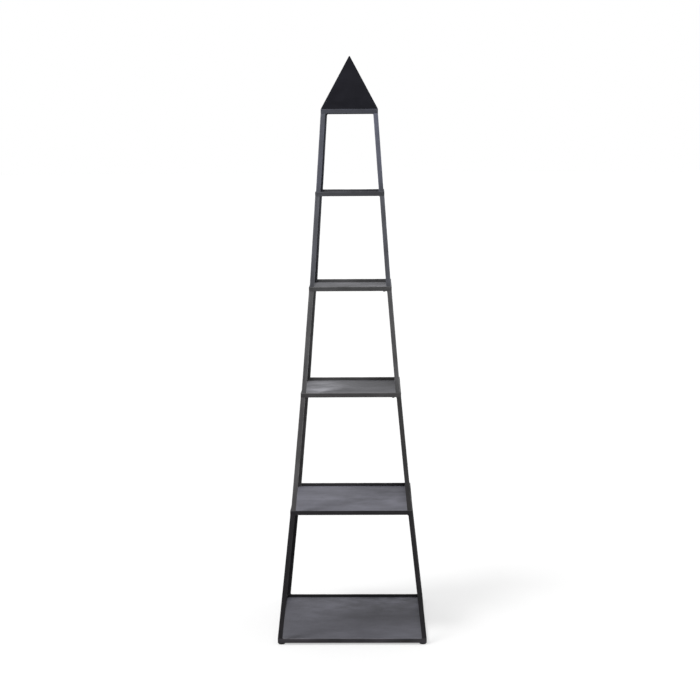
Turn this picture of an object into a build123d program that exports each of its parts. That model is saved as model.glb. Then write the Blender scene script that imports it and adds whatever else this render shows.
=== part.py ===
from build123d import *
import math
import os

os.makedirs("parts", exist_ok=True)

# An open obelisk stand of angle iron and sheet: five tapering tiers of trays under a pyramid cap.
# The origin is the centre of the footprint on the floor, +Z is up and the front looks along -Y.

# ---------------------------------------------------------------- driving dimensions (mm)
FRAME_NAMES = ["base", "shelf_1", "shelf_2", "shelf_3", "shelf_4", "top"]
FRAME_WIDTHS = [510.0, 419.0, 342.0, 281.0, 234.0, 193.0]  # outside of each square frame
RIM_TOPS = [21.5, 459.0, 859.5, 1219.0, 1538.5, 1814.5]  # height of each frame's upper edge
TOTAL_HEIGHT = 1994.0

IRON = 2.0                # thickness of every flange
RAIL_HEIGHT = 15.0        # upright flange of a frame rail
RAIL_DEPTH = 15.0         # flat flange of a frame rail
LEG_FLANGE = 16.0         # both flanges of a leg

SHEET = 1.5               # tray panels and cap plates
PANEL_GAP = 0.3           # round each panel, inside its rim
CAP_TIP = 3.0             # width of the blunt tip of the cap

GLIDE_RADIUS = 13.0
GLIDE_FLAT_RADIUS = 8.5   # the part of a glide that touches the floor
GLIDE_BULGE_RADIUS = 9.0  # of the rounded edge between the two

# Quarter turns about the upright axis from the front, and the signs of x and y at each corner.
SIDES = {"front": 0, "right": 1, "rear": 2, "left": 3}
CORNERS = {"front_left": (-1, -1), "front_right": (1, -1), "rear_right": (1, 1), "rear_left": (-1, 1)}


def underside(level):
    """Height of the lower face of a frame."""
    return RIM_TOPS[level] - RAIL_HEIGHT


def panel_top(level):
    """Height of the upper face of the panel in a frame."""
    return underside(level) + IRON + SHEET


def write(piece, name):
    """Label a finished piece and write it to its own file."""
    piece.part.label = name
    export_step(piece.part, f"parts/{name}.step")


# ---------------------------------------------------------------- square frames
def mitred_rail(level, turns):
    """One side of a frame: an upright outer flange and a flat inner one, mitred at both ends."""
    outer = FRAME_WIDTHS[level] / 2
    with BuildPart() as rail:
        for flange_depth, flange_height in ((IRON, RAIL_HEIGHT), (RAIL_DEPTH, IRON)):
            inner = outer - flange_depth
            with BuildSketch(Plane.XY.offset(underside(level)).rotated((0, 0, 90 * turns))):
                with BuildLine():
                    Polyline((-outer, -outer), (outer, -outer), (inner, -inner), (-inner, -inner), close=True)
                make_face()
            extrude(amount=flange_height)
    return rail


for level, frame_name in enumerate(FRAME_NAMES):
    for side, turns in SIDES.items():
        write(mitred_rail(level, turns), f"{frame_name}_rail_{side}")


# ---------------------------------------------------------------- tray panels
# Every frame but the top one carries a loose-fitting sheet on its flat flanges.
for level, frame_name in enumerate(FRAME_NAMES[:-1]):
    panel_width = FRAME_WIDTHS[level] - 2 * (IRON + PANEL_GAP)
    with BuildPart() as panel:
        with BuildSketch(Plane.XY.offset(panel_top(level) - SHEET)):
            Rectangle(panel_width, panel_width)
        extrude(amount=SHEET)
    write(panel, f"{frame_name}_panel")


# ---------------------------------------------------------------- legs
def corner_leg(foot, foot_z, head, head_z, sx, sy):
    """Angle iron with level ends, its heel running from the foot corner to the head corner."""
    with BuildPart() as leg:
        with BuildSketch(Plane.XY.offset(foot_z)):
            with BuildLine():
                Polyline(
                    (sx * foot, sy * foot),
                    (sx * (foot - LEG_FLANGE), sy * foot),
                    (sx * (foot - LEG_FLANGE), sy * (foot - IRON)),
                    (sx * (foot - IRON), sy * (foot - IRON)),
                    (sx * (foot - IRON), sy * (foot - LEG_FLANGE)),
                    (sx * foot, sy * (foot - LEG_FLANGE)),
                    close=True,
                )
            make_face()
        heel = Vector(sx * (head - foot), sy * (head - foot), head_z - foot_z)
        extrude(amount=heel.length, dir=heel.normalized())
    return leg


for tier in range(1, len(FRAME_NAMES)):
    # A leg's head is welded under the frame above it, flush with the corner.
    head = FRAME_WIDTHS[tier] / 2
    head_z = underside(tier)
    if tier == 1:
        # The lowest legs stand on the upper edge of the base frame, flush with its faces.
        foot = FRAME_WIDTHS[0] / 2
        foot_z = RIM_TOPS[0]
    else:
        # The others stand in the tray below, against the inside of its rim.
        foot = FRAME_WIDTHS[tier - 1] / 2 - IRON
        foot_z = panel_top(tier - 1)
    for corner, (sx, sy) in CORNERS.items():
        write(corner_leg(foot, foot_z, head, head_z, sx, sy), f"tier_{tier}_leg_{corner}")


# ---------------------------------------------------------------- pyramid cap
# Four plates, mitred along the arrises: each is a quarter of one hollow pyramid.
cap_foot = RIM_TOPS[-1]
cap_height = TOTAL_HEIGHT - cap_foot
cap_half = FRAME_WIDTHS[-1] / 2
cap_lean = math.atan2(cap_half - CAP_TIP / 2, cap_height)    # of each face, from upright
hollow_half = cap_half - SHEET / math.cos(cap_lean)
hollow_tip = CAP_TIP / 10
hollow_height = (hollow_half - hollow_tip) / math.tan(cap_lean)

for side, turns in SIDES.items():
    with BuildPart() as plate:
        with BuildSketch(Plane.XY.offset(cap_foot)):
            Rectangle(2 * cap_half, 2 * cap_half)
        extrude(amount=cap_height, taper=math.degrees(cap_lean))
        with BuildSketch(Plane.XY.offset(cap_foot)):
            Rectangle(2 * hollow_half, 2 * hollow_half)
        extrude(amount=hollow_height, taper=math.degrees(cap_lean), mode=Mode.SUBTRACT)
        for diagonal in (-135, -45):
            facing = Vector(1, 0, 0).rotate(Axis.Z, diagonal + 90 * turns)
            split(bisect_by=Plane((0, 0, 0), z_dir=facing), keep=Keep.TOP)
    write(plate, f"cap_plate_{side}")


# ---------------------------------------------------------------- glides
glide_height = underside(0)
glide_centre = FRAME_WIDTHS[0] / 2 - GLIDE_RADIUS

for corner, (sx, sy) in CORNERS.items():
    spot = Vector(sx * glide_centre, sy * glide_centre, 0)
    with BuildPart() as glide:
        with BuildSketch(Plane(spot, x_dir=(1, 0, 0), z_dir=(0, -1, 0))):
            with BuildLine():
                Polyline((GLIDE_RADIUS, glide_height), (0, glide_height), (0, 0), (GLIDE_FLAT_RADIUS, 0))
                RadiusArc((GLIDE_FLAT_RADIUS, 0), (GLIDE_RADIUS, glide_height), -GLIDE_BULGE_RADIUS)
            make_face()
        revolve(axis=Axis(spot, (0, 0, 1)))
    write(glide, f"glide_{corner}")
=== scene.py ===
import bmesh
import bpy
import math
from mathutils import Matrix, Vector, noise


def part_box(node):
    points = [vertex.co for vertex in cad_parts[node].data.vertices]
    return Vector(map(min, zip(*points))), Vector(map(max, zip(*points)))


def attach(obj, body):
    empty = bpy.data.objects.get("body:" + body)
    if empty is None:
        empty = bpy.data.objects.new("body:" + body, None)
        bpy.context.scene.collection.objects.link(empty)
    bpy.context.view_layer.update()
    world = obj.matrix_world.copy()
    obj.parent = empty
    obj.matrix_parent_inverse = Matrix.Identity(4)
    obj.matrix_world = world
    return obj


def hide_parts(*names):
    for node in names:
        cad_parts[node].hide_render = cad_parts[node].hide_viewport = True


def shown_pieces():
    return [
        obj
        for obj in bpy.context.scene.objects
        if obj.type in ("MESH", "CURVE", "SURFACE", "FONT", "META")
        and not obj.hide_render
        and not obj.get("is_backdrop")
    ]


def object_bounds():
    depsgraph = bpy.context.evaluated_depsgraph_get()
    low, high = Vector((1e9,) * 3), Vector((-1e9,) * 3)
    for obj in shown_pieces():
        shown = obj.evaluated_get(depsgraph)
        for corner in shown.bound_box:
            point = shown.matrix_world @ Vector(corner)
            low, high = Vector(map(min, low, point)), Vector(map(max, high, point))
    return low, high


# An open obelisk stand of blackened angle iron: five tapering tiers of trays under a pyramid cap.
# Lengths are in metres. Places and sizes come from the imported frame, and the rest is named here.

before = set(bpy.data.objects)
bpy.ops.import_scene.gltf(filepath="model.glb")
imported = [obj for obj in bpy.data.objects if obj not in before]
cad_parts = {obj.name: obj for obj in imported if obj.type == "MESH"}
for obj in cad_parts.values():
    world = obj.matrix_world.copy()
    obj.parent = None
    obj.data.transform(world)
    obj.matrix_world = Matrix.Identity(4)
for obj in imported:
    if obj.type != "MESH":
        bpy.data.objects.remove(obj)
cad_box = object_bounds()

# ---------------------------------------------------------------- names and signs
FRAMES = ["base", "shelf_1", "shelf_2", "shelf_3", "shelf_4", "top"]
SIDES = {"front": 0, "right": 1, "rear": 2, "left": 3}   # quarter turns
CORNERS = {"front_left": (-1, -1), "front_right": (1, -1), "rear_right": (1, 1), "rear_left": (-1, 1)}
TOP = len(FRAMES) - 1      # the number of the frame that carries the cap
MM = 0.001

# ---------------------------------------------------------------- sizes that the boxes don't give
IRON = 2.0 * MM            # thickness of the angle iron
LEG_FLANGE = 16.0 * MM
HEEL_ROUND = 1.3 * MM      # outer corner of a leg and of a frame
TOE_ROUND = 0.7 * MM       # free edges of the flanges
LEG_ROOT_ROUND = 2.0 * MM
RAIL_ROOT_ROUND = 0.35 * MM

# ---------------------------------------------------------------- camera
CAMERA_AT = Vector((0.0915, -5.2714, 1.7349))
CAMERA_AIM = Vector((-0.005, 0.0, 0.983))
CAMERA_ROLL = math.radians(-0.413)
FOCAL_LENGTH = 78.3        # in millimetres, like the sensor
SENSOR = 36.0


def make_camera():
    """The photograph's view: from a little right of the middle and above shelf 4, looking slightly down."""
    data = bpy.data.cameras.new("camera")
    data.lens = FOCAL_LENGTH
    data.sensor_width = SENSOR
    camera = bpy.data.objects.new("camera", data)
    camera.location = CAMERA_AT
    turn = (CAMERA_AIM - CAMERA_AT).to_track_quat("-Z", "Y")
    camera.rotation_mode = "QUATERNION"
    camera.rotation_quaternion = turn @ Matrix.Rotation(CAMERA_ROLL, 3, "Z").to_quaternion()
    bpy.context.scene.collection.objects.link(camera)
    bpy.context.scene.camera = camera


make_camera()


# ---------------------------------------------------------------- materials
def add_node(tree, kind, inputs=None, **settings):
    """A new node with its settings, and each input either linked to a socket or given a value."""
    made = tree.nodes.new(kind)
    for key, value in settings.items():
        setattr(made, key, value)
    for key, value in (inputs or {}).items():
        if isinstance(value, bpy.types.NodeSocket):
            tree.links.new(value, made.inputs[key])
        else:
            made.inputs[key].default_value = value
    return made


def scaled(tree, vector, scale):
    """The vector with each of its parts multiplied."""
    return add_node(tree, "ShaderNodeVectorMath", {0: vector, 1: scale}, operation="MULTIPLY").outputs[0]


def noise_at(tree, vector, scale, detail=5.0, roughness=0.55):
    """Smooth noise, from 0 to 1, at a vector in metres."""
    inputs = {"Vector": scaled(tree, vector, scale), "Scale": 1.0, "Detail": detail, "Roughness": roughness}
    return add_node(tree, "ShaderNodeTexNoise", inputs).outputs["Fac"]


def blended(tree, parts):
    """A weighted sum of values."""
    total = None
    for value, weight in parts:
        share = add_node(tree, "ShaderNodeMath", {0: value, 1: weight}, operation="MULTIPLY").outputs[0]
        if total is None:
            total = share
        else:
            total = add_node(tree, "ShaderNodeMath", {0: total, 1: share}, operation="ADD").outputs[0]
    return total


def ranged(tree, value, low, high, to_low, to_high):
    """A value carried from one range to another, and held inside it."""
    inputs = {"Value": value, "From Min": low, "From Max": high, "To Min": to_low, "To Max": to_high}
    return add_node(tree, "ShaderNodeMapRange", inputs).outputs["Result"]


def mixed(tree, factor, first, second):
    """A mix of two colours."""
    made = add_node(tree, "ShaderNodeMix", data_type="RGBA")
    for socket, value in ((made.inputs[0], factor), (made.inputs[6], first), (made.inputs[7], second)):
        if isinstance(value, bpy.types.NodeSocket):
            tree.links.new(value, socket)
        else:
            socket.default_value = value
    return made.outputs[2]


def grey(value, tint=(1.0, 1.0)):
    """A grey tinted by its shares of red and of blue."""
    return (value * tint[0], value, value * tint[1], 1.0)


# Tints, as shares of red and of blue.
WARM = (1.04, 1.03)
PLUM = (1.07, 1.14)
PLAIN = (1.01, 1.04)
COOL = (0.97, 1.18)
BLUE = (0.95, 1.32)
SHEET_BLUE = (1.00, 1.20)
SHEET_PLAIN = (1.00, 1.09)
CAP_BLUE = (1.00, 1.50)

# Hills a metre of each pattern in the metal: along its grain, across it, and in between the pieces' seeds.
ROLLED_PATCHES = (4.5, 9.0, 1.0)
ROLLED_STROKES = (9.0, 190.0, 1.0)
SHEET_PATCHES = (6.0, 13.0, 1.0)
SHEET_STROKES = (5.0, 45.0, 1.0)
CLOUDS = (16.0, 22.0, 1.0)
SCRATCHES = (22.0, 620.0, 1.0)
SPECKS = (520.0, 620.0, 1.0)
NOISE_LOW = 0.40           # most of a mix of noises lies between these
NOISE_HIGH = 0.60

SCORCHED = (1.25, 0.85, 0.5)   # red, green and blue beside a weld, as shares of the lighter tone
WEAR_AND_PAINTED_LIGHT_TONE = 2.0          # where the black is rubbed thin along the edges, and where light is painted on the trays, also as a share of it
GRAIN_DEPTH = 0.4 * MM     # of the scratches and specks, before a finish's bump scales it


def iron_finish(name, tone, roughness=0.5, streak=0.35, tint=WARM, heat=0.5, bump=0.4, gloss=0.5,
                patches=ROLLED_PATCHES, strokes=ROLLED_STROKES, contrast=0.55, wax=0.13):
    """Blackened and waxed iron. Its grain runs along the metal, and it browns a little beside the welds.

    The mesh's grain attribute is the distance along and across the metal. Its heat is how near a weld is,
    and its wear attribute is where the black is rubbed thin along the edges, and on the trays it is painted
    light: painted highlights, and light painted over the shadows that the shelves above cast. Streak is the
    strokes' share of the pattern, and contrast is how far the tone swings with it. Wax is how far the
    roughness swings.
    """
    material = bpy.data.materials.new(name)
    material.use_nodes = True
    tree = material.node_tree
    shader = tree.nodes["Principled BSDF"]
    shader.inputs["Specular IOR Level"].default_value = gloss
    grain = add_node(tree, "ShaderNodeAttribute", attribute_name="grain").outputs["Vector"]
    near_weld = add_node(tree, "ShaderNodeAttribute", attribute_name="heat").outputs["Fac"]
    edge_wear_and_painted_light = add_node(tree, "ShaderNodeAttribute", attribute_name="edge_wear_and_painted_light").outputs["Fac"]

    drift = noise_at(tree, grain, patches, detail=3.0)
    clouds = noise_at(tree, grain, CLOUDS, detail=6.0)
    streaks = noise_at(tree, grain, strokes, detail=7.0, roughness=0.6)
    scratches = noise_at(tree, grain, SCRATCHES, detail=5.0, roughness=0.7)
    specks = noise_at(tree, grain, SPECKS, detail=3.0)

    tone_at = blended(tree, [(drift, 0.40), (clouds, 0.40 - 0.4 * streak), (streaks, 0.4 * streak),
                             (scratches, 0.12), (specks, 0.08)])
    lighter = ranged(tree, tone_at, NOISE_LOW, NOISE_HIGH, 0.0, 1.0)
    light, dark = tone * (1 + contrast), tone * (1 - contrast)
    colour = mixed(tree, lighter, grey(dark, tint), grey(light, tint))
    patchy = add_node(tree, "ShaderNodeMath", {0: near_weld, 1: clouds}, operation="MULTIPLY").outputs[0]
    browned = blended(tree, [(patchy, heat)])
    colour = mixed(tree, browned, colour, (*(light * share for share in SCORCHED), 1.0))
    # The wear mix is worn edges on the rails and legs, and painted light on the trays: painted highlights,
    # and light painted over the shadows that the shelves above cast.
    cloud_mask = ranged(tree, clouds, 0.4, 0.65, 0.15, 1.0)
    painted_light_and_wear = add_node(tree, "ShaderNodeMath", {0: edge_wear_and_painted_light, 1: cloud_mask}, operation="MULTIPLY").outputs[0]
    colour = mixed(tree, painted_light_and_wear, colour, grey(light * WEAR_AND_PAINTED_LIGHT_TONE, tint))
    tree.links.new(colour, shader.inputs["Base Color"])

    satin = blended(tree, [(drift, 0.40), (clouds, 0.25), (scratches, 0.20), (specks, 0.15)])
    waxed = ranged(tree, satin, NOISE_LOW, NOISE_HIGH, roughness + wax, roughness - wax)
    tree.links.new(waxed, shader.inputs["Roughness"])

    height = blended(tree, [(specks, 0.5), (scratches, 0.45), (streaks, 0.25), (clouds, 0.4)])
    relief = add_node(tree, "ShaderNodeBump", {"Height": height, "Strength": bump, "Distance": GRAIN_DEPTH})
    tree.links.new(relief.outputs[0], shader.inputs["Normal"])
    return material


PIT_DEPTH = 0.2 * MM       # of the glides' texture


def glide_finish(name):
    """Matt black moulded plastic with a fine spark-eroded texture."""
    material = bpy.data.materials.new(name)
    material.use_nodes = True
    tree = material.node_tree
    shader = tree.nodes["Principled BSDF"]
    place = add_node(tree, "ShaderNodeTexCoord").outputs["Object"]
    pits = noise_at(tree, place, (900.0, 900.0, 900.0), detail=2.0)
    wear = noise_at(tree, place, (120.0, 120.0, 120.0), detail=4.0)
    colour = mixed(tree, ranged(tree, wear, 0.4, 0.7, 0.0, 1.0), grey(0.012), grey(0.028))
    tree.links.new(colour, shader.inputs["Base Color"])
    tree.links.new(ranged(tree, pits, 0.3, 0.7, 0.55, 0.7), shader.inputs["Roughness"])
    relief = add_node(tree, "ShaderNodeBump", {"Height": pits, "Strength": 0.3, "Distance": PIT_DEPTH})
    tree.links.new(relief.outputs[0], shader.inputs["Normal"])
    return material


# How light each frame's rails, each tier's legs and each tray are, from the base up, with how much they
# shine or how uneven they are, and their tint. The tones of the rails and legs hold painted light and shade:
# the base's and shelf 1's rails and the lowest legs are painted dark as shade, each tier's left and right
# legs are lit and shaded copies of one iron, and the base's front rail is painted paler than its other
# three, as light bounced up from the floor. The trays grow lighter towards the top.
RAIL_METALS = [
    iron_finish(f"rail_iron_{level}", tone, gloss=gloss, tint=tint)
    for level, (tone, gloss, tint) in enumerate([
        (0.008, 0.35, PLUM), (0.013, 0.35, PLUM), (0.035, 0.50, WARM),
        (0.038, 0.50, PLAIN), (0.026, 0.45, COOL), (0.023, 0.40, BLUE),
    ])
]
BASE_FRONT_LIT_METAL = iron_finish("base_front_lit_iron", 0.039, gloss=0.45, tint=PLUM)
LEG_METALS = {
    (tier, side): iron_finish(f"leg_iron_{tier}_{side}", tone, gloss=gloss, tint=tint)
    for tier, (left, right, gloss, tint) in enumerate([
        (0.015, 0.014, 0.30, PLUM), (0.050, 0.021, 0.45, WARM), (0.050, 0.048, 0.50, PLAIN),
        (0.044, 0.048, 0.50, COOL), (0.035, 0.051, 0.50, BLUE),
    ], start=1)
    for side, tone in (("left", left), ("right", right))
}
TRAY_METALS = [
    iron_finish(f"tray_sheet_{level}", tone, roughness=0.45, streak=streak, tint=tint, heat=0.15, bump=0.2,
                patches=SHEET_PATCHES, strokes=SHEET_STROKES, contrast=contrast, wax=0.04)
    for level, (tone, streak, contrast, tint) in enumerate([
        (0.048, 0.2, 0.18, SHEET_BLUE), (0.080, 0.6, 0.24, SHEET_BLUE), (0.075, 0.8, 0.34, SHEET_PLAIN),
        (0.089, 0.8, 0.32, SHEET_PLAIN), (0.110, 0.8, 0.30, SHEET_PLAIN),
    ])
]
# The cap is painted near black, with little shine: painted shade, holding back the overhead light that its
# tilted plates catch.
CAP_SHADED_METAL = iron_finish("cap_sheet", 0.0046, roughness=0.62, streak=0.2, tint=CAP_BLUE, heat=0.1, bump=0.1,
                        gloss=0.05, contrast=0.25)
WELD_METAL = iron_finish("weld_iron", 0.030, roughness=0.55, streak=0.1, heat=0.6, bump=0.35)
GLIDE_PLASTIC = glide_finish("glide_plastic")


# ---------------------------------------------------------------- mesh building
SEED_STEP = 7.3            # between two pieces' places in the noise of their materials
# Where the seeds of each kind of piece start, and then of each kind of bead. No two metal pieces share one.
RAIL_SEED = 1
LEG_SEED = 40
PANEL_SEED = 70
CAP_SEED = 80
HEAD_WELD_SEED = 100
FOOT_WELD_SEED = 110
CORNER_WELD_SEED = 120
CAP_WELD_SEED = 130
STRAY_TACK_SEED = 140
LEG_BEAD_SEED = 100
RIM_BEAD_SEED = 150
RIM_SEAM_SEED = 160
CORNER_SEAM_SEED = 200
CAP_SEAM_SEED = 240
STRAY_SEAM_SEED = 250


class Form:
    """Points and faces of a piece, with what its material reads at each point."""

    def __init__(self):
        self.points, self.faces, self.grain, self.heat, self.edge_wear_and_painted_light = [], [], [], [], []

    def add_point(self, point, along, across, heat=0.0, edge_wear_and_painted_light=0.0):
        """One more point, and its number."""
        self.points.append(Vector(point))
        self.grain.append((along, across))
        self.heat.append(heat)
        self.edge_wear_and_painted_light.append(edge_wear_and_painted_light)
        return len(self.points) - 1

    def skin(self, rings):
        """Faces along rings of equally many point numbers, and a flat face at each end."""
        for ring, following in zip(rings, rings[1:]):
            for i in range(len(ring)):
                j = (i + 1) % len(ring)
                self.faces.append((ring[i], ring[j], following[j], following[i]))
        self.faces.append(tuple(reversed(rings[0])))
        self.faces.append(tuple(rings[-1]))


ARC_STEPS = 4              # along the arc that rounds an edge
WEAR_MARGIN = 1.2 * MM     # how far beyond an edge's arc its wear ends
SHARP_ANGLE = math.radians(40)   # between two faces, for the edge between them to look sharp


def rounded(corners):
    """A closed outline with an arc at each corner, and how worn it is at each of its points.

    Each corner has its place, radius and wear. The wear is on its arc, and ends a little beyond it.
    """
    arcs = []
    for i, (corner, radius, wear) in enumerate(corners):
        here = Vector(corner)
        back = (Vector(corners[i - 1][0]) - here).normalized()
        ahead = (Vector(corners[(i + 1) % len(corners)][0]) - here).normalized()
        half = back.angle(ahead) / 2
        centre = here + (back + ahead).normalized() * radius / math.sin(half)
        start = here + back * radius / math.tan(half) - centre
        end = here + ahead * radius / math.tan(half) - centre
        spokes = [start * (1 - k / ARC_STEPS) + end * (k / ARC_STEPS) for k in range(ARC_STEPS + 1)]
        arcs.append([(centre + spoke.normalized() * radius, wear) for spoke in spokes])
    outline = []
    for arc, following in zip(arcs, arcs[1:] + arcs[:1]):
        outline += arc
        flat = following[0][0] - arc[-1][0]
        if flat.length > 3 * WEAR_MARGIN:
            outline.append((arc[-1][0] + flat.normalized() * WEAR_MARGIN, 0.0))
            outline.append((following[0][0] - flat.normalized() * WEAR_MARGIN, 0.0))
    return [place for place, wear in outline], [wear for place, wear in outline]


def distances(outline):
    """How far round the outline each of its points is."""
    total, found = 0.0, []
    for here, following in zip(outline, outline[1:] + outline[:1]):
        found.append(total)
        total += (following - here).length
    return found


def wave(along, seed, length):
    """Smooth wandering, mostly between -1 and 1, with hills about a length apart."""
    return 2.0 * noise.noise(Vector((along / length, 13.7 * seed, 0.5)), noise_basis="PERLIN_NEW")


def nearness(distance, reach):
    """1 at a weld, falling to nothing over about its reach."""
    return math.exp(-((distance / reach) ** 2))


def make_piece(name, form, material, nodes=(), seed=0):
    """The finished object: riding on the frame, with its material, and standing for nodes."""
    mesh = bpy.data.meshes.new(name)
    mesh.from_pydata(form.points, [], form.faces)
    outward = bmesh.new()
    outward.from_mesh(mesh)
    bmesh.ops.recalc_face_normals(outward, faces=outward.faces)
    outward.to_mesh(mesh)
    outward.free()
    mesh.shade_smooth()
    mesh.set_sharp_from_angle(angle=SHARP_ANGLE)
    grain = mesh.attributes.new("grain", "FLOAT_VECTOR", "POINT")
    grain.data.foreach_set("vector", [part for pair in form.grain for part in (*pair, SEED_STEP * seed)])
    heat = mesh.attributes.new("heat", "FLOAT", "POINT")
    heat.data.foreach_set("value", form.heat)
    edge_wear_and_painted_light = mesh.attributes.new("edge_wear_and_painted_light", "FLOAT", "POINT")
    edge_wear_and_painted_light.data.foreach_set("value", form.edge_wear_and_painted_light)
    mesh.materials.append(material)
    piece = bpy.data.objects.new(name, mesh)
    bpy.context.scene.collection.objects.link(piece)
    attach(piece, "root")
    if nodes:
        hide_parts(*nodes)
    return piece


# ---------------------------------------------------------------- frame rails
def half_width(level):
    """Half of the outer width of a frame."""
    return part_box(f"{FRAMES[level]}_rail_right")[1].x


def underside(level):
    """Height of a frame's lower face."""
    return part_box(f"{FRAMES[level]}_rail_front")[0].z


def rim_top(level):
    """Height of a frame's upper edge."""
    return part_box(f"{FRAMES[level]}_rail_front")[1].z


RAIL_HEIGHT = rim_top(0) - underside(0)
RAIL_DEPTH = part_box("base_rail_front")[1].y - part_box("base_rail_front")[0].y
PANEL_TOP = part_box("base_panel")[1].z - underside(0)    # above a frame's underside


def corner_rounded(x, y, half, radius):
    """The point, brought inside the arc that rounds a square's corner."""
    centre = half - radius
    if abs(x) <= centre or abs(y) <= centre:
        return x, y
    out = Vector((abs(x) - centre, abs(y) - centre))
    if out.length > radius:
        out = out.normalized() * radius
    return math.copysign(centre + out.x, x), math.copysign(centre + out.y, y)


RAIL_SPANS = 48
RAIL_LEAN = 0.35 * MM      # how far a rim leans in between its corners, at most
RAIL_LEAN_HILLS = 0.11     # length of its waves
RAIL_DIP = 0.25 * MM       # how far its upper edge dips
RAIL_DIP_HILLS = 0.07
RAIL_HOLD = 40 * MM        # how far from a corner the weld holds it straight
RAIL_SCORCH = 22 * MM      # how far from a corner the weld browned it


def rail_stations(half):
    """Places along a rail's outer face, closer together where the corners are rounded."""
    ends = [half - HEEL_ROUND * k / 4 for k in range(4)]
    middle = [(half - 2 * HEEL_ROUND) * (2 * k / RAIL_SPANS - 1) for k in range(RAIL_SPANS + 1)]
    return [-x for x in ends] + middle + ends[::-1]


RAIL_PROFILE, RAIL_WEAR = rounded([
    ((0, 0), 0.5 * MM, 0.3),
    ((RAIL_DEPTH, 0), TOE_ROUND, 0.2),
    ((RAIL_DEPTH, IRON), TOE_ROUND, 0.2),
    ((IRON, IRON), RAIL_ROOT_ROUND, 0.0),
    ((IRON, RAIL_HEIGHT), TOE_ROUND, 0.7),
    ((0, RAIL_HEIGHT), TOE_ROUND, 0.7),
])


def rail_form(level, turns, seed):
    """One side of a frame: an angle with its heel down and out, mitred at both ends."""
    form = Form()
    half, foot = half_width(level), underside(level)
    turn = Matrix.Rotation(turns * math.pi / 2, 3, "Z")
    across = distances(RAIL_PROFILE)
    rings = []
    for along in rail_stations(half):
        from_corner = half - abs(along)
        free = 1 - nearness(from_corner, RAIL_HOLD)
        heat = nearness(from_corner, RAIL_SCORCH)
        lean = RAIL_LEAN * free * abs(wave(along, seed, RAIL_LEAN_HILLS))
        dip = RAIL_DIP * free * abs(wave(along, seed + 0.5, RAIL_DIP_HILLS))
        ring = []
        for (depth, height), round_it, edge_wear_and_painted_light in zip(RAIL_PROFILE, across, RAIL_WEAR):
            rise = height / RAIL_HEIGHT
            inset = depth + lean * rise ** 2
            x, y = corner_rounded(along * (half - depth) / half, -(half - inset), half, HEEL_ROUND)
            place = turn @ Vector((x, y, foot + height - dip * rise ** 2))
            ring.append(form.add_point(place, along, round_it, heat, edge_wear_and_painted_light))
        rings.append(ring)
    form.skin(rings)
    return form


for level, frame_name in enumerate(FRAMES):
    for side, turns in SIDES.items():
        seed = RAIL_SEED + len(SIDES) * level + turns
        node = f"{frame_name}_rail_{side}"
        # The base's front rail takes the paler iron: painted light, standing in for light bounced up from
        # the floor.
        metal = BASE_FRONT_LIT_METAL if node == "base_rail_front" else RAIL_METALS[level]
        make_piece(f"{node}_iron", rail_form(level, turns, seed), metal, [node], seed)


# ---------------------------------------------------------------- legs
LEG_PROFILE, LEG_WEAR = rounded([
    ((0, 0), HEEL_ROUND, 0.5),
    ((LEG_FLANGE, 0), TOE_ROUND, 0.4),
    ((LEG_FLANGE, IRON), TOE_ROUND, 0.4),
    ((IRON, IRON), LEG_ROOT_ROUND, 0.0),
    ((IRON, LEG_FLANGE), TOE_ROUND, 0.4),
    ((0, LEG_FLANGE), TOE_ROUND, 0.4),
])


LEG_SPANS = 60
LEG_BOW = 0.35 * MM        # how far a flange's free edge wanders, at most
LEG_BOW_HILLS = 0.16       # length of its waves
LEG_HOLD = 30 * MM         # how far from an end the weld holds it straight
LEG_SCORCH = 26 * MM       # how far from an end the weld browned it


def leg_ends(tier):
    """The foot's and the head's distance from the middle, and their heights."""
    low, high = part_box(f"tier_{tier}_leg_rear_right")
    return high.x, half_width(tier), low.z, high.z


def leg_form(tier, sx, sy, seed):
    """Angle iron with level ends, its heel on the obelisk's edge."""
    form = Form()
    foot, head, low, high = leg_ends(tier)
    across = distances(LEG_PROFILE)
    rings = []
    for k in range(LEG_SPANS + 1):
        share = k / LEG_SPANS
        z = low + (high - low) * share
        heel = foot + (head - foot) * share
        from_end = min(z - low, high - z)
        free = 1 - nearness(from_end, LEG_HOLD)
        heat = nearness(from_end, LEG_SCORCH)
        bow_x = LEG_BOW * free * abs(wave(z, seed, LEG_BOW_HILLS))
        bow_y = LEG_BOW * free * abs(wave(z, seed + 0.5, LEG_BOW_HILLS))
        ring = []
        for (a, b), round_it, edge_wear_and_painted_light in zip(LEG_PROFILE, across, LEG_WEAR):
            inset_x = a + bow_x * (b / LEG_FLANGE) ** 2
            inset_y = b + bow_y * (a / LEG_FLANGE) ** 2
            place = (sx * (heel - inset_x), sy * (heel - inset_y), z)
            ring.append(form.add_point(place, z, round_it, heat, edge_wear_and_painted_light))
        rings.append(ring)
    form.skin(rings)
    return form


for tier in range(1, len(FRAMES)):
    for number, (corner, (sx, sy)) in enumerate(CORNERS.items()):
        seed = LEG_SEED + len(CORNERS) * tier + number
        node = f"tier_{tier}_leg_{corner}"
        # Left and right legs take their own tones: painted light and shade, as lit and shaded copies of one
        # iron.
        metal = LEG_METALS[tier, "left" if sx < 0 else "right"]
        make_piece(f"{node}_iron", leg_form(tier, sx, sy, seed), metal, [node], seed)


# ---------------------------------------------------------------- tray panels
PANEL_SPANS = 56
PANEL_EASE = 0.3 * MM      # of its edges
PANEL_SAG = 0.5 * MM       # in the middle, before the ripples and the longer swells
PANEL_RIPPLE = 0.7 * MM
PANEL_RIPPLE_SIZE = (0.13, 0.05)   # from hill to hill, in x and y
PANEL_SWELL = 0.9 * MM
PANEL_SWELL_SIZE = (0.3, 0.2)
PANEL_STIFF = 0.35         # how far in from the flanges the sag grows, as a share of the half width
PANEL_SCORCH = 30 * MM     # how far from a corner the welds browned it
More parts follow.
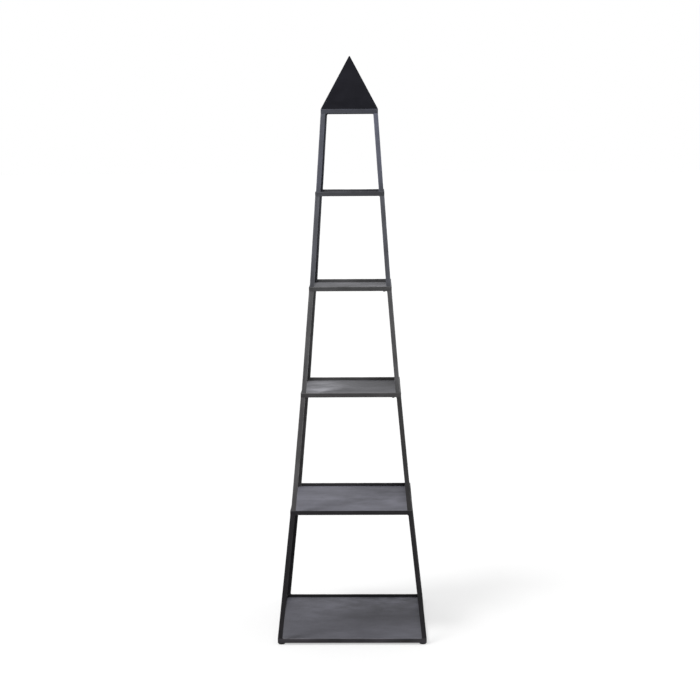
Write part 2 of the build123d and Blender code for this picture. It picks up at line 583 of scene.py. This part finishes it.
# Light painted on each tray: painted highlights, and light painted over the shadows that the shelves above
# cast. A place's middle in x and y, its spread in x and y, as shares of the tray's half width, and how
# strong it is.
PAINTED_LIGHT_PATCHES = {
    "base": [(-0.55, 0.3, 0.4, 0.4, 0.2), (0.6, 0.8, 0.6, 0.45, 0.8), (0.1, 0.7, 0.5, 0.4, 0.35)],
    "shelf_1": [(0.15, 0.0, 0.6, 0.45, 0.35), (0.7, 0.3, 0.35, 0.6, 0.35)],
    "shelf_2": [(-0.62, 0.0, 0.34, 0.7, 1.2)],
    "shelf_3": [(0.1, 0.0, 0.4, 0.6, 0.2), (0.65, 0.0, 0.35, 0.7, 0.5)],
    "shelf_4": [(-0.2, 0.0, 0.5, 0.6, 0.15)],
}


def panel_sag(x, y, half, seed):
    """How far the sheet lies below flat: it rests on the flanges and ripples a little between them."""
    free = half - RAIL_DEPTH - max(abs(x), abs(y))
    if free <= 0:
        return 0.0
    share = min(1.0, free / (PANEL_STIFF * half))
    loose = share ** 2 * (3 - 2 * share)
    ripple_at = Vector((x / PANEL_RIPPLE_SIZE[0], y / PANEL_RIPPLE_SIZE[1], 3.1 * seed))
    swell_at = Vector((x / PANEL_SWELL_SIZE[0], y / PANEL_SWELL_SIZE[1], 5.7 * seed))
    ripple = noise.noise(ripple_at, noise_basis="PERLIN_NEW")
    swell = noise.noise(swell_at, noise_basis="PERLIN_NEW")
    return loose * (PANEL_SAG + PANEL_RIPPLE * ripple + PANEL_SWELL * swell)


def painted_light_at(x, y, half, painted_light_and_wear):
    """How much light is painted on a tray at a place."""
    total = 0.0
    for middle_x, middle_y, spread_x, spread_y, most in painted_light_and_wear:
        away = Vector(((x / half - middle_x) / spread_x, (y / half - middle_y) / spread_y))
        total += most * nearness(away.length, 1.0)
    return min(1.0, total)


def panel_form(node, half, seed, painted_light_and_wear):
    """A thin square sheet, with its edges eased and its faces rippled."""
    form = Form()
    low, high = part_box(node)
    edge = high.x
    eased = edge - PANEL_EASE
    places = [-edge, -eased]
    places += [eased * (2 * k / PANEL_SPANS - 1) for k in range(1, PANEL_SPANS)]
    places += [eased, edge]
    last = len(places) - 1
    grids = []
    for z, step_in in ((high.z, -PANEL_EASE), (low.z, PANEL_EASE)):
        grid = []
        for i, x in enumerate(places):
            row = []
            for j, y in enumerate(places):
                rim = i in (0, last) or j in (0, last)
                height = z + (step_in if rim else 0.0) - panel_sag(x, y, half, seed)
                heat = nearness(2 * edge - abs(x) - abs(y), PANEL_SCORCH)
                row.append(form.add_point((x, y, height), x, y, heat, painted_light_at(x, y, half, painted_light_and_wear)))
            grid.append(row)
        grids.append(grid)
    top, bottom = grids
    for i in range(last):
        for j in range(last):
            form.faces.append((top[i][j], top[i + 1][j], top[i + 1][j + 1], top[i][j + 1]))
            form.faces.append((bottom[i][j], bottom[i][j + 1], bottom[i + 1][j + 1], bottom[i + 1][j]))
    border = [(i, 0) for i in range(last)] + [(last, j) for j in range(last)]
    border += [(i, last) for i in range(last, 0, -1)] + [(0, j) for j in range(last, 0, -1)]
    for (i, j), (m, n) in zip(border, border[1:] + border[:1]):
        form.faces.append((top[i][j], top[m][n], bottom[m][n], bottom[i][j]))
    return form


for level, frame_name in enumerate(FRAMES[:-1]):
    node = f"{frame_name}_panel"
    seed = PANEL_SEED + level
    form = panel_form(node, half_width(level), seed, PAINTED_LIGHT_PATCHES[frame_name])
    make_piece(f"{node}_sheet", form, TRAY_METALS[level], [node], seed)


# ---------------------------------------------------------------- pyramid cap
CAP_ROWS = 40
CAP_COLUMNS = 24
CAP_SHEET = 1.5 * MM
CAP_TIP = 3.0 * MM         # width of the blunt tip
CAP_DISH = 0.5 * MM        # how far a plate is dished between its arrises
CAP_FOOT = 30 * MM         # height over which the dish grows from nothing at the foot
CAP_HOLLOW_GAP = 0.5 * MM  # between the top of the inner face and the point where the four would meet
CAP_SCORCH = 12 * MM       # how far from an arris its weld browned it


def cap_form(turns, seed):
    """One plate of the pyramid, dished a hair between its welded arrises, with its inner face behind it."""
    form = Form()
    low, high = rim_top(TOP), cad_box[1].z
    half = half_width(TOP)
    slope = math.atan2(half - CAP_TIP / 2, high - low)
    thick = CAP_SHEET / math.cos(slope)
    turn = Matrix.Rotation(turns * math.pi / 2, 3, "Z")
    inner_top = low + (half - thick) / math.tan(slope) - CAP_HOLLOW_GAP
    grids = []
    for face, top in ((0.0, high), (thick, inner_top)):
        rows = []
        for r in range(CAP_ROWS + 1):
            z = low + (top - low) * r / CAP_ROWS
            reach = half - (z - low) * math.tan(slope) - face
            row = []
            for c in range(CAP_COLUMNS + 1):
                across = 2 * c / CAP_COLUMNS - 1
                dish = CAP_DISH * (1 - across * across) * min(1.0, reach / (0.5 * half))
                dish *= 0.6 + wave(across + z * 9, seed, 1.1)
                bend = min(1.0, (z - low) / CAP_FOOT)
                x, y = across * reach, -(reach - max(0.0, dish) * bend)
                if face == 0.0:
                    x, y = corner_rounded(x, y, reach, min(HEEL_ROUND, 0.8 * reach))
                heat = nearness(reach - abs(x), CAP_SCORCH)
                row.append(form.add_point(turn @ Vector((x, y, z)), x, z, heat))
            rows.append(row)
        grids.append(rows)
    outer, inner = grids
    for r in range(CAP_ROWS):
        for c in range(CAP_COLUMNS):
            form.faces.append((outer[r][c], outer[r][c + 1], outer[r + 1][c + 1], outer[r + 1][c]))
            form.faces.append((inner[r][c], inner[r + 1][c], inner[r + 1][c + 1], inner[r][c + 1]))
        for c in (0, CAP_COLUMNS):
            form.faces.append((outer[r][c], outer[r + 1][c], inner[r + 1][c], inner[r][c]))
    for r in (0, CAP_ROWS):
        for c in range(CAP_COLUMNS):
            form.faces.append((outer[r][c], outer[r][c + 1], inner[r][c + 1], inner[r][c]))
    return form


for side, turns in SIDES.items():
    node = f"cap_plate_{side}"
    seed = CAP_SEED + turns
    make_piece(f"{node}_sheet", cap_form(turns, seed), CAP_SHADED_METAL, [node], seed)


# ---------------------------------------------------------------- glides
GLIDE_STEPS = 48           # round a glide
BULGE_STEPS = 8            # up its rounded edge
SOLE_SHARE = 0.62          # radius of its sole, as a share of its own
BULGE_SHARE = 0.92         # height of its rounded edge, as a share of its own
RECESS = 0.5 * MM          # depth of the hollow in its sole


def glide_form(node):
    """A round pad, turned: flat on the floor with a shallow recess in the middle of its sole."""
    form = Form()
    low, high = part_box(node)
    middle = (low + high) / 2
    radius = (high.x - low.x) / 2
    height = high.z - low.z
    flat = SOLE_SHARE * radius
    profile = [(0.25 * flat, RECESS), (0.8 * flat, RECESS), (0.85 * flat, 0.1 * MM), (0.9 * flat, 0.0)]
    for k in range(BULGE_STEPS + 1):
        swing = math.pi / 2 * k / BULGE_STEPS
        rise = height * BULGE_SHARE * (1 - math.cos(swing))
        profile.append((flat + (radius - flat) * math.sin(swing), rise))
    profile.append((radius - 0.2 * MM, height))
    rings = []
    for distance, z in profile:
        ring = []
        for k in range(GLIDE_STEPS):
            angle = 2 * math.pi * k / GLIDE_STEPS
            out = Vector((math.cos(angle), math.sin(angle), 0)) * distance
            ring.append(form.add_point(Vector((middle.x, middle.y, low.z + z)) + out, angle * radius, z))
        rings.append(ring)
    form.skin(rings)
    return form


for corner in CORNERS:
    node = f"glide_{corner}"
    make_piece(f"{node}_pad", glide_form(node), GLIDE_PLASTIC, [node])


# ---------------------------------------------------------------- welds
WELD_OVERLAP = 0.5 * MM    # how far a bead reaches into the metal on either side of its joint
RIPPLE = 1.9 * MM          # between the ripples of a bead
WANDER = 5 * MM            # length of the slower swells in a bead
HEAD_TOE_WELD = 2.3 * MM   # legs of the fillets
FOOT_TOE_WELD = 2.6 * MM
INNER_WELD = 2.4 * MM
HOLLOW = 0.3               # how far a fillet's face is drawn in
SEAM_WIDTH = 3.6 * MM
RIM_SEAM_HEIGHT = 0.9 * MM
MITRE_SEAM_HEIGHT = 0.8 * MM
CAP_SEAM_HEIGHT = 1.1 * MM
INSIDE_SEAM_WIDTH = 2.6 * MM   # of the upright seams inside a frame's corners
INSIDE_SEAM_HEIGHT = 1.0 * MM
INSIDE_SEAM_GAP = 0.7 * MM     # they stand a little out of the corner
SEAM_MARGIN = 1 * MM       # between a seam's end and the end of its joint
HEEL_MARGIN = 4 * MM       # between the heel of a lowest leg and the seams inside its flanges


def add_bead(form, path, outs, rise, sizes, seed):
    """A fillet weld in the angle between a level face and an upright one, along a path.

    At each point of the path, out leads along the level face, rise leads up or down the upright one,
    and size is the leg of the fillet.
    """
    up = Vector((0, 0, rise))
    total = 0.0
    rings = []
    for i, (place, out, size) in enumerate(zip(path, outs, sizes)):
        if i:
            total += (place - path[i - 1]).length
        reach = size * (1 + 0.10 * math.sin(2 * math.pi * total / RIPPLE) + 0.22 * wave(total, seed, WANDER))
        section = [(-WELD_OVERLAP, -WELD_OVERLAP), (reach, -WELD_OVERLAP)]
        for k in range(7):
            swing = math.pi / 2 * k / 6
            bulge = 1 - HOLLOW * math.sin(2 * swing)
            section.append((reach * math.cos(swing) * bulge, reach * math.sin(swing) * bulge))
        section.append((-WELD_OVERLAP, reach))
        rings.append([form.add_point(place + out * a + up * b, total, b, 1.0) for a, b in section])
    form.skin(rings)


def fine_path(points, outs, sizes, step=0.5 * MM):
    """The same path with points a step apart, and its outs and sizes in between."""
    fine = ([], [], [])
    for i in range(len(points) - 1):
        count = max(1, round((points[i + 1] - points[i]).length / step))
        for k in range(count + (i == len(points) - 2)):
            share = k / count
            fine[0].append(points[i].lerp(points[i + 1], share))
            fine[1].append(outs[i].lerp(outs[i + 1], share))
            fine[2].append(sizes[i] * (1 - share) + sizes[i + 1] * share)
    return fine


def add_leg_weld(form, sx, sy, heel, z, rise, toe_size, inner_size, seed):
    """A bead round the inside of a leg's end, from the toe of one flange to the toe of the other."""
    toe = LEG_FLANGE - 0.1 * MM     # the bead runs a hair inside the leg's faces
    face = IRON - 0.1 * MM
    outer = 0.25 * MM
    turning = face - 0.3 * MM       # where it begins to turn round a toe
    past_toe = toe - 3 * MM
    root = IRON + 0.3 * MM
    past_root = IRON + 2 * MM
    # Each place is how far in it lies from the leg's two outer faces, with the way out of the metal there.
    spots = [
        ((toe, outer), (1, 0), toe_size),
        ((toe, turning), (1, 0.1), toe_size),
        ((toe, face), (0.8, 0.6), toe_size * 0.8),
        ((past_toe, face), (0, 1), inner_size),
        ((past_root, face), (0, 1), inner_size),
        ((root, root), (0.9, 0.9), inner_size),
        ((face, past_root), (1, 0), inner_size),
        ((face, past_toe), (1, 0), inner_size),
        ((face, toe), (0.6, 0.8), toe_size * 0.8),
        ((turning, toe), (0.1, 1), toe_size),
        ((outer, toe), (0, 1), toe_size),
    ]
    points = [Vector((sx * (heel - a), sy * (heel - b), z)) for (a, b), out, size in spots]
    outs = [Vector((-sx * out[0], -sy * out[1], 0)) for place, out, size in spots]
    path, outs, sizes = fine_path(points, outs, [size for place, out, size in spots])
    add_bead(form, path, outs, rise, sizes, seed)


def add_seam(form, start, end, face, width, height, seed):
    """A low domed bead along a straight joint in a face, which the face vector stands out from."""
    run = end - start
    side = run.normalized().cross(face)
    count = max(4, round(run.length / (0.6 * MM)))
    rings = []
    for i in range(count + 1):
        share = i / count
        along = run.length * share
        taper = math.sqrt(max(0.05, 1 - abs(2 * share - 1) ** 6))
        swell = (1 + 0.12 * math.sin(2 * math.pi * along / RIPPLE) + 0.2 * wave(along, seed, WANDER)) * taper
        middle = start + run * share + side * (0.15 * width * wave(along, seed + 0.5, 9 * MM))
        half = side * width * 0.5 * swell
        ring = [form.add_point(middle - half - face * WELD_OVERLAP, along, 0, 1.0)]
        for k in range(9):
            swing = math.pi * k / 8
            out = -half * math.cos(swing) + face * (math.sin(swing) * height * swell)
            ring.append(form.add_point(middle + out, along, k * height, 1.0))
        ring.append(form.add_point(middle + half - face * WELD_OVERLAP, along, 0, 1.0))
        rings.append(ring)
    form.skin(rings)


def weld_ends(tier):
    """Beads at the heads and the feet of one tier's legs."""
    foot, head, low, high = leg_ends(tier)
    heads, feet = Form(), Form()
    for number, (sx, sy) in enumerate(CORNERS.values()):
        seed = LEG_BEAD_SEED + 2 * len(CORNERS) * tier + number
        add_leg_weld(heads, sx, sy, head, high, -1, HEAD_TOE_WELD, INNER_WELD, seed)
        if tier > 1:
            add_leg_weld(feet, sx, sy, foot, low, 1, FOOT_TOE_WELD, INNER_WELD, seed + len(CORNERS))
    if tier == 1:
        add_rim_welds(feet, foot, low)
    make_piece(f"tier_{tier}_head_welds", heads, WELD_METAL, seed=HEAD_WELD_SEED + tier)
    make_piece(f"tier_{tier}_foot_welds", feet, WELD_METAL, seed=FOOT_WELD_SEED + tier)


def add_rim_welds(form, foot, z):
    """How the lowest legs are held on the base's rim: a web at each toe, and a seam inside each flange."""
    for number, (sx, sy) in enumerate(CORNERS.values()):
        corner = Vector((sx * foot, sy * foot, z))
        inwards_x, inwards_y = Vector((-sx, 0, 0)), Vector((0, -sy, 0))
        # Along and across the front or rear rail's rim, and then the side rail's.
        for turned, (along, across) in enumerate([(inwards_x, inwards_y), (inwards_y, inwards_x)]):
            toe = corner + along * LEG_FLANGE
            ends = [toe + across * 0.3 * MM, toe + across * (IRON - 0.2 * MM)]
            path, outs, sizes = fine_path(ends, [along] * 2, [FOOT_TOE_WELD] * 2, 0.3 * MM)
            add_bead(form, path, outs, 1, sizes, RIM_BEAD_SEED + number)
            inside = corner + across * IRON
            start = inside + along * (LEG_FLANGE - SEAM_MARGIN)
            end = inside + along * HEEL_MARGIN
            seed = RIM_SEAM_SEED + 2 * number + turned
            add_seam(form, start, end, across, SEAM_WIDTH, RIM_SEAM_HEIGHT, seed)


for tier in range(1, len(FRAMES)):
    weld_ends(tier)


def weld_frame(level):
    """Seams at the mitres of a frame, where nothing covers them.

    They run under the corners of every frame but the base, which has glides there, and up inside the corners
    of the base and the top frame, where no leg stands.
    """
    form = Form()
    half, foot = half_width(level), underside(level)
    for number, (sx, sy) in enumerate(CORNERS.values()):
        seed = CORNER_SEAM_SEED + 2 * len(CORNERS) * level + number
        out = Vector((sx, sy, 0))
        if level > 0:
            mitre = Vector((0, 0, foot))
            start = out * (half - IRON - SEAM_MARGIN) + mitre
            end = out * (half - RAIL_DEPTH + SEAM_MARGIN) + mitre
            add_seam(form, start, end, Vector((0, 0, -1)), SEAM_WIDTH, MITRE_SEAM_HEIGHT, seed)
        if level in (0, TOP):
            corner = out * (half - IRON - INSIDE_SEAM_GAP)
            start = corner + Vector((0, 0, foot + (PANEL_TOP if level == 0 else IRON)))
            end = corner + Vector((0, 0, rim_top(level) - SEAM_MARGIN))
            add_seam(form, start, end, -out.normalized(), INSIDE_SEAM_WIDTH, INSIDE_SEAM_HEIGHT,
                     seed + len(CORNERS))
    make_piece(f"{FRAMES[level]}_corner_welds", form, WELD_METAL, seed=CORNER_WELD_SEED + level)


for level in range(len(FRAMES)):
    weld_frame(level)


CAP_TACK = 14 * MM         # length of each bead that holds the cap


def weld_cap():
    """Short beads inside, two a side, between the cap plates and the top frame."""
    form = Form()
    edge = half_width(TOP) - IRON + 0.2 * MM
    for side, turns in SIDES.items():
        turn = Matrix.Rotation(turns * math.pi / 2, 3, "Z")
        for across in (-1, 1):
            middle = across * 0.5 * edge
            start = turn @ Vector((middle - CAP_TACK / 2, -edge, rim_top(TOP)))
            end = turn @ Vector((middle + CAP_TACK / 2, -edge, rim_top(TOP)))
            seed = CAP_SEAM_SEED + 2 * turns + across
            add_seam(form, start, end, turn @ Vector((0, 1, 0)), SEAM_WIDTH, CAP_SEAM_HEIGHT, seed)
    make_piece("cap_tack_welds", form, WELD_METAL, seed=CAP_WELD_SEED)


STRAY_TACKS = {"shelf_2": 27 * MM, "shelf_3": 25 * MM}   # in from the right end of the front rail
STRAY_LENGTH = 9.0 * MM
STRAY_WIDTH = 4.0 * MM
STRAY_HEIGHT = 2.6 * MM
STRAY_INSET = 2.6 * MM     # behind the rail's outer face


def weld_stray_tacks():
    """Stray beads left hanging under two of the front rails."""
    for number, (frame_name, inset) in enumerate(STRAY_TACKS.items()):
        level = FRAMES.index(frame_name)
        form = Form()
        half = half_width(level)
        place = Vector((half - inset, -half + STRAY_INSET, underside(level)))
        reach = Vector((STRAY_LENGTH / 2, 0, 0))
        add_seam(form, place - reach, place + reach, Vector((0, 0, -1)), STRAY_WIDTH, STRAY_HEIGHT,
                 STRAY_SEAM_SEED + number)
        make_piece(f"{frame_name}_stray_tack", form, WELD_METAL, seed=STRAY_TACK_SEED + number)


weld_cap()
weld_stray_tacks()


# ---------------------------------------------------------------- floor, light and background
FLOOR_REACH = 60.0         # from the middle to each edge
FLOOR_TONE = 0.38          # low, to keep the shadow faint
FLOOR_GLOW = 0.52          # what brings it back up to white


def make_floor():
    """A plain pale floor, far larger than the view. It throws no light back up at the object."""
    mesh = bpy.data.meshes.new("floor")
    corners = [(x * FLOOR_REACH, y * FLOOR_REACH, 0) for x, y in CORNERS.values()]
    mesh.from_pydata(corners, [], [(0, 1, 2, 3)])
    material = bpy.data.materials.new("floor_white")
    material.use_nodes = True
    shader = material.node_tree.nodes["Principled BSDF"]
    shader.inputs["Base Color"].default_value = grey(FLOOR_TONE)
    shader.inputs["Emission Color"].default_value = grey(1.0)
    shader.inputs["Emission Strength"].default_value = FLOOR_GLOW
    shader.inputs["Roughness"].default_value = 1.0
    shader.inputs["Specular IOR Level"].default_value = 0.0
    mesh.materials.append(material)
    floor = bpy.data.objects.new("floor", mesh)
    floor.visible_diffuse = False
    floor.visible_glossy = False
    bpy.context.scene.collection.objects.link(floor)
    floor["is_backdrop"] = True


SKY_BELOW = 0.15           # strengths well under the horizon, at it and overhead
SKY_RIM = 0.10
SKY_TOP = 2.35
SKY_FALL = 3.0             # how quickly the light overhead dies away towards the sides


def make_world():
    """A studio surround: pure white to the eye, and as a light bright overhead and dim at the sides."""
    world = bpy.data.worlds.new("studio")
    bpy.context.scene.world = world
    world.use_nodes = True
    tree = world.node_tree
    background = tree.nodes["Background"]
    direction = add_node(tree, "ShaderNodeTexCoord").outputs["Generated"]
    height = add_node(tree, "ShaderNodeSeparateXYZ", {0: direction}).outputs["Z"]
    overhead = add_node(tree, "ShaderNodeMath", {0: height, 1: SKY_FALL}, operation="POWER", use_clamp=True)
    above = ranged(tree, overhead.outputs[0], 0.0, 1.0, SKY_RIM, SKY_TOP)
    below = ranged(tree, height, -0.3, 0.0, SKY_BELOW - SKY_RIM, 0.0)
    glow = blended(tree, [(above, 1.0), (below, 1.0)])
    seen = add_node(tree, "ShaderNodeLightPath").outputs["Is Camera Ray"]
    strength = add_node(tree, "ShaderNodeMix", {0: seen, 2: glow, 3: 1.0})
    tree.links.new(strength.outputs[0], background.inputs["Strength"])
    background.inputs["Color"].default_value = grey(1.0)


SUN_FROM = Vector((-1.0, -0.83, 2.4))
SUN_STRENGTH = 1.5
SUN_SPREAD = 16.0          # degrees


def make_sun():
    """A broad soft key from the front left, which throws the faint shadow on the floor."""
    data = bpy.data.lights.new("key", "SUN")
    data.energy = SUN_STRENGTH
    data.angle = math.radians(SUN_SPREAD)
    key = bpy.data.objects.new("key", data)
    key.rotation_mode = "QUATERNION"
    key.rotation_quaternion = (-SUN_FROM).to_track_quat("-Z", "Y")
    bpy.context.scene.collection.objects.link(key)


BOXES = {"left_box": ((-1.1, -0.95, 2.3), 45.0), "right_box": ((1.6, -0.5, 0.8), 32.0)}   # place and watts
BOX_SIZE = 0.8
BOX_AIM = Vector((0, 0, 1.3))


def make_boxes():
    """Softboxes that light the object alone: one high at the front left, one lower at the right."""
    lit = bpy.data.collections.new("lit_by_boxes")
    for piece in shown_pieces():
        lit.objects.link(piece)
    for name, (place, watts) in BOXES.items():
        data = bpy.data.lights.new(name, "AREA")
        data.energy = watts
        data.size = BOX_SIZE
        box = bpy.data.objects.new(name, data)
        box.location = place
        box.rotation_mode = "QUATERNION"
        box.rotation_quaternion = (BOX_AIM - Vector(place)).to_track_quat("-Z", "Y")
        box.visible_camera = False
        box.light_linking.receiver_collection = lit
        bpy.context.scene.collection.objects.link(box)


make_floor()
make_world()
make_sun()
make_boxes()
bpy.context.scene.view_settings.view_transform = "Standard"
